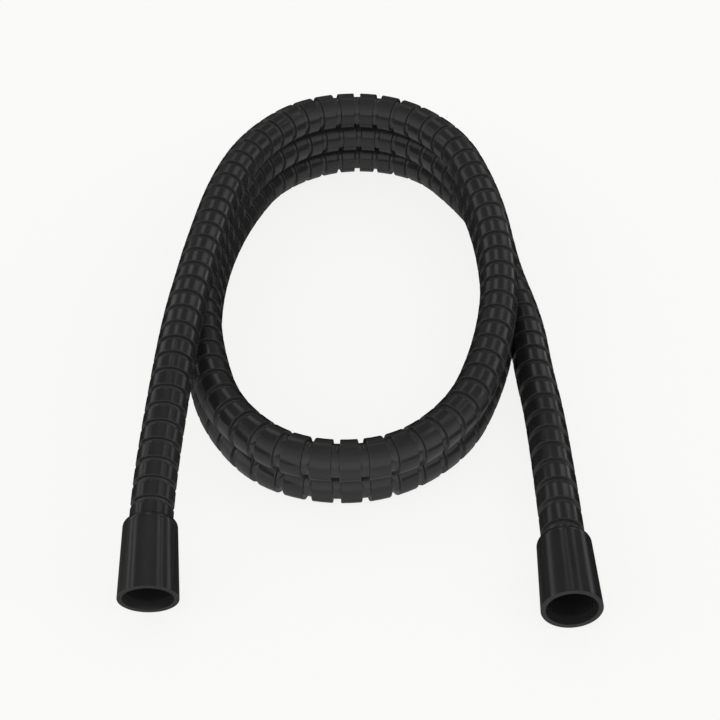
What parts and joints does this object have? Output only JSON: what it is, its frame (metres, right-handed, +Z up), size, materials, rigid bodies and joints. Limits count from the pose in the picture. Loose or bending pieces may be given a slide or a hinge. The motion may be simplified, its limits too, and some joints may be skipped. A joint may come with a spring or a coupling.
{
  "type": "pool vacuum hose",
  "caption": "Ribbed flexible pool vacuum hose lying in a loose oval coil, with a smooth tapered swivel cuff on each end.",
  "frame": {"origin": "centre of the bounding box's footprint, on the floor", "axes": "+Z up from the floor, -Y towards the open mouths of the cuffs, +X towards the end that leaves the coil's lowest turn"},
  "size_m": [0.3856, 0.7201, 0.1088],
  "materials": {
    "hose_black": "satin",
    "cuff_black": "satin",
    "sleeve_black": "matte",
    "washer_grey": "matte",
    "seal_rubber": "matte",
    "ring_steel": "brushed"
  },
  "bodies": {
    "hose": {"hose_tail_left": "hose_black", "hose_coil": "hose_black", "hose_tail_right": "hose_black", "left_sleeve": "sleeve_black", "left_washer": "washer_grey", "left_seal": "seal_rubber", "right_sleeve": "sleeve_black", "right_washer": "washer_grey", "right_seal": "seal_rubber"},
    "left_swivel": {"left_cuff": "cuff_black", "left_retaining_ring": "ring_steel"},
    "right_swivel": {"right_cuff": "cuff_black", "right_retaining_ring": "ring_steel"}
  },
  "joints": [
    {"name": "left_cuff_spin", "type": "hinge", "parent": "hose", "child": "left_swivel", "pos_m": [-0.17071, -0.28701, 0.04677], "axis": [0.0639, -0.9375, -0.342], "continuous": true},
    {"name": "right_cuff_spin", "type": "hinge", "parent": "hose", "child": "right_swivel", "pos_m": [0.1649, -0.28633, 0.03472], "axis": [0.0449, -0.988, -0.1478], "continuous": true}
  ]
}
